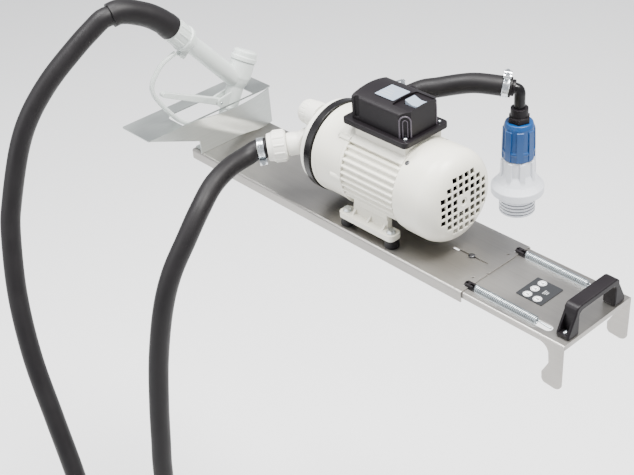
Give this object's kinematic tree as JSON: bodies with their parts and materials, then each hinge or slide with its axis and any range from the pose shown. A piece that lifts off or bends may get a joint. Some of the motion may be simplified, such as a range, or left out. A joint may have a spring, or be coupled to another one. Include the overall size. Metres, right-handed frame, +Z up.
{
  "type": "drum pump",
  "caption": "Electric diaphragm pump on a spring-clamped sheet bracket that spans an open-top drum rim, with bung coupling, suction hose, delivery hose and hand nozzle in a holder",
  "frame": {"origin": "Middle of the bracket's width, at the middle of the drum it sits on, on the plane where the lower edges of the bracket's flanges rest on the drum rim", "axes": "+X along the bracket from the nozzle holder to the sprung sliding end, +Y across it towards the drum coupling, +Z up, away from the drum"},
  "size_m": [0.7359, 0.8985, 1.2022],
  "materials": {
    "stainless": "brushed stainless sheet",
    "zinc": "bright zinc plate",
    "white_paint": "warm white powder coat",
    "black_plastic": "black moulded plastic",
    "grey_plastic": "light grey moulded plastic",
    "white_plastic": "white moulded plastic",
    "blue_plastic": "glossy blue moulded plastic",
    "clear_plastic": "milky natural plastic",
    "rubber": "matt black rubber",
    "label": "dark grey printed label",
    "steel": "machined steel",
    "copper": "varnished copper winding"
  },
  "bodies": {
    "frame": {"main_plate": "stainless", "nozzle_holder": "stainless", "spring_anchor_front": "black_plastic", "spring_anchor_back": "black_plastic", "spring_front": "zinc", "spring_back": "zinc", "motor_housing": "white_paint", "motor_foot_front": "white_paint", "motor_foot_back": "white_paint", "rubber_mount_1": "rubber", "rubber_mount_2": "rubber", "rubber_mount_3": "rubber", "rubber_mount_4": "rubber", "foot_bolt_1": "zinc", "foot_bolt_2": "zinc", "foot_bolt_3": "zinc", "foot_bolt_4": "zinc", "front_shield": "white_paint", "stator": "copper", "bearing_front": "steel", "bearing_rear": "steel", "fan_cover": "white_paint", "box_base": "black_plastic", "box_lid": "black_plastic", "cable_gland": "black_plastic", "capacitor": "white_plastic", "adapter_ring": "black_plastic", "pump_head": "white_plastic", "head_cover": "white_plastic", "bypass_cap": "white_plastic", "diaphragm": "rubber", "outlet_elbow": "white_plastic", "outlet_nut": "white_plastic", "inlet_elbow": "white_plastic", "clamp_outlet": "zinc", "clamp_inlet": "zinc", "clamp_coupler": "zinc", "suction_hose": "rubber", "coupler_elbow": "black_plastic", "hex_adapter": "black_plastic", "drum_flange": "white_plastic", "hose_down": "rubber", "hose_coil": "rubber", "hose_up": "rubber"},
    "slide": {"slide_plate": "stainless", "handle": "black_plastic", "label_plate": "label", "guide_pin": "black_plastic"},
    "rotor": {"rotor": "steel", "shaft": "steel", "fan": "black_plastic", "eccentric": "steel"},
    "rocker": {"rocker_switch": "grey_plastic"},
    "sleeve": {"coupling_sleeve": "blue_plastic"},
    "nozzle": {"nozzle_body": "clear_plastic", "nozzle_bonnet": "clear_plastic", "trigger_guard": "clear_plastic", "hose_sleeve": "rubber"},
    "swivel_nut": {"nozzle_nut": "clear_plastic"},
    "trigger": {"trigger_lever": "clear_plastic"}
  },
  "joints": [
    {"name": "slide_pull", "type": "slide", "parent": "frame", "child": "slide", "axis": [1, 0, 0], "range_m": [-0.026, 0.023], "stiffness_N_per_m": 900, "deforming": ["spring_front", "spring_back"]},
    {"name": "rotor_spin", "type": "hinge", "parent": "frame", "child": "rotor", "pos_m": [0, 0, 0.0907], "axis": [1, 0, 0], "continuous": true},
    {"name": "rocker_tip", "type": "hinge", "parent": "frame", "child": "rocker", "pos_m": [0.018, 0, 0.195], "axis": [0, -1, 0], "range_deg": [0, 14]},
    {"name": "sleeve_turn", "type": "hinge", "parent": "frame", "child": "sleeve", "pos_m": [0.0279, 0.1842, 0.075], "axis": [0, 0, 1], "range_deg": [0, 60]},
    {"name": "nozzle_lift", "type": "slide", "parent": "frame", "child": "nozzle", "axis": [0, 0.495, 0.8689], "range_m": [0, 0.1]},
    {"name": "nut_swivel", "type": "hinge", "parent": "nozzle", "child": "swivel_nut", "pos_m": [-0.385, -0.0717, 0.2117], "axis": [0, 0.65, -0.76], "continuous": true},
    {"name": "trigger_squeeze", "type": "hinge", "parent": "nozzle", "child": "trigger", "pos_m": [-0.385, -0.008, 0.072], "axis": [-1, 0, 0], "range_deg": [0, 18], "stiffness_Nm_per_rad": 0.6}
  ]
}
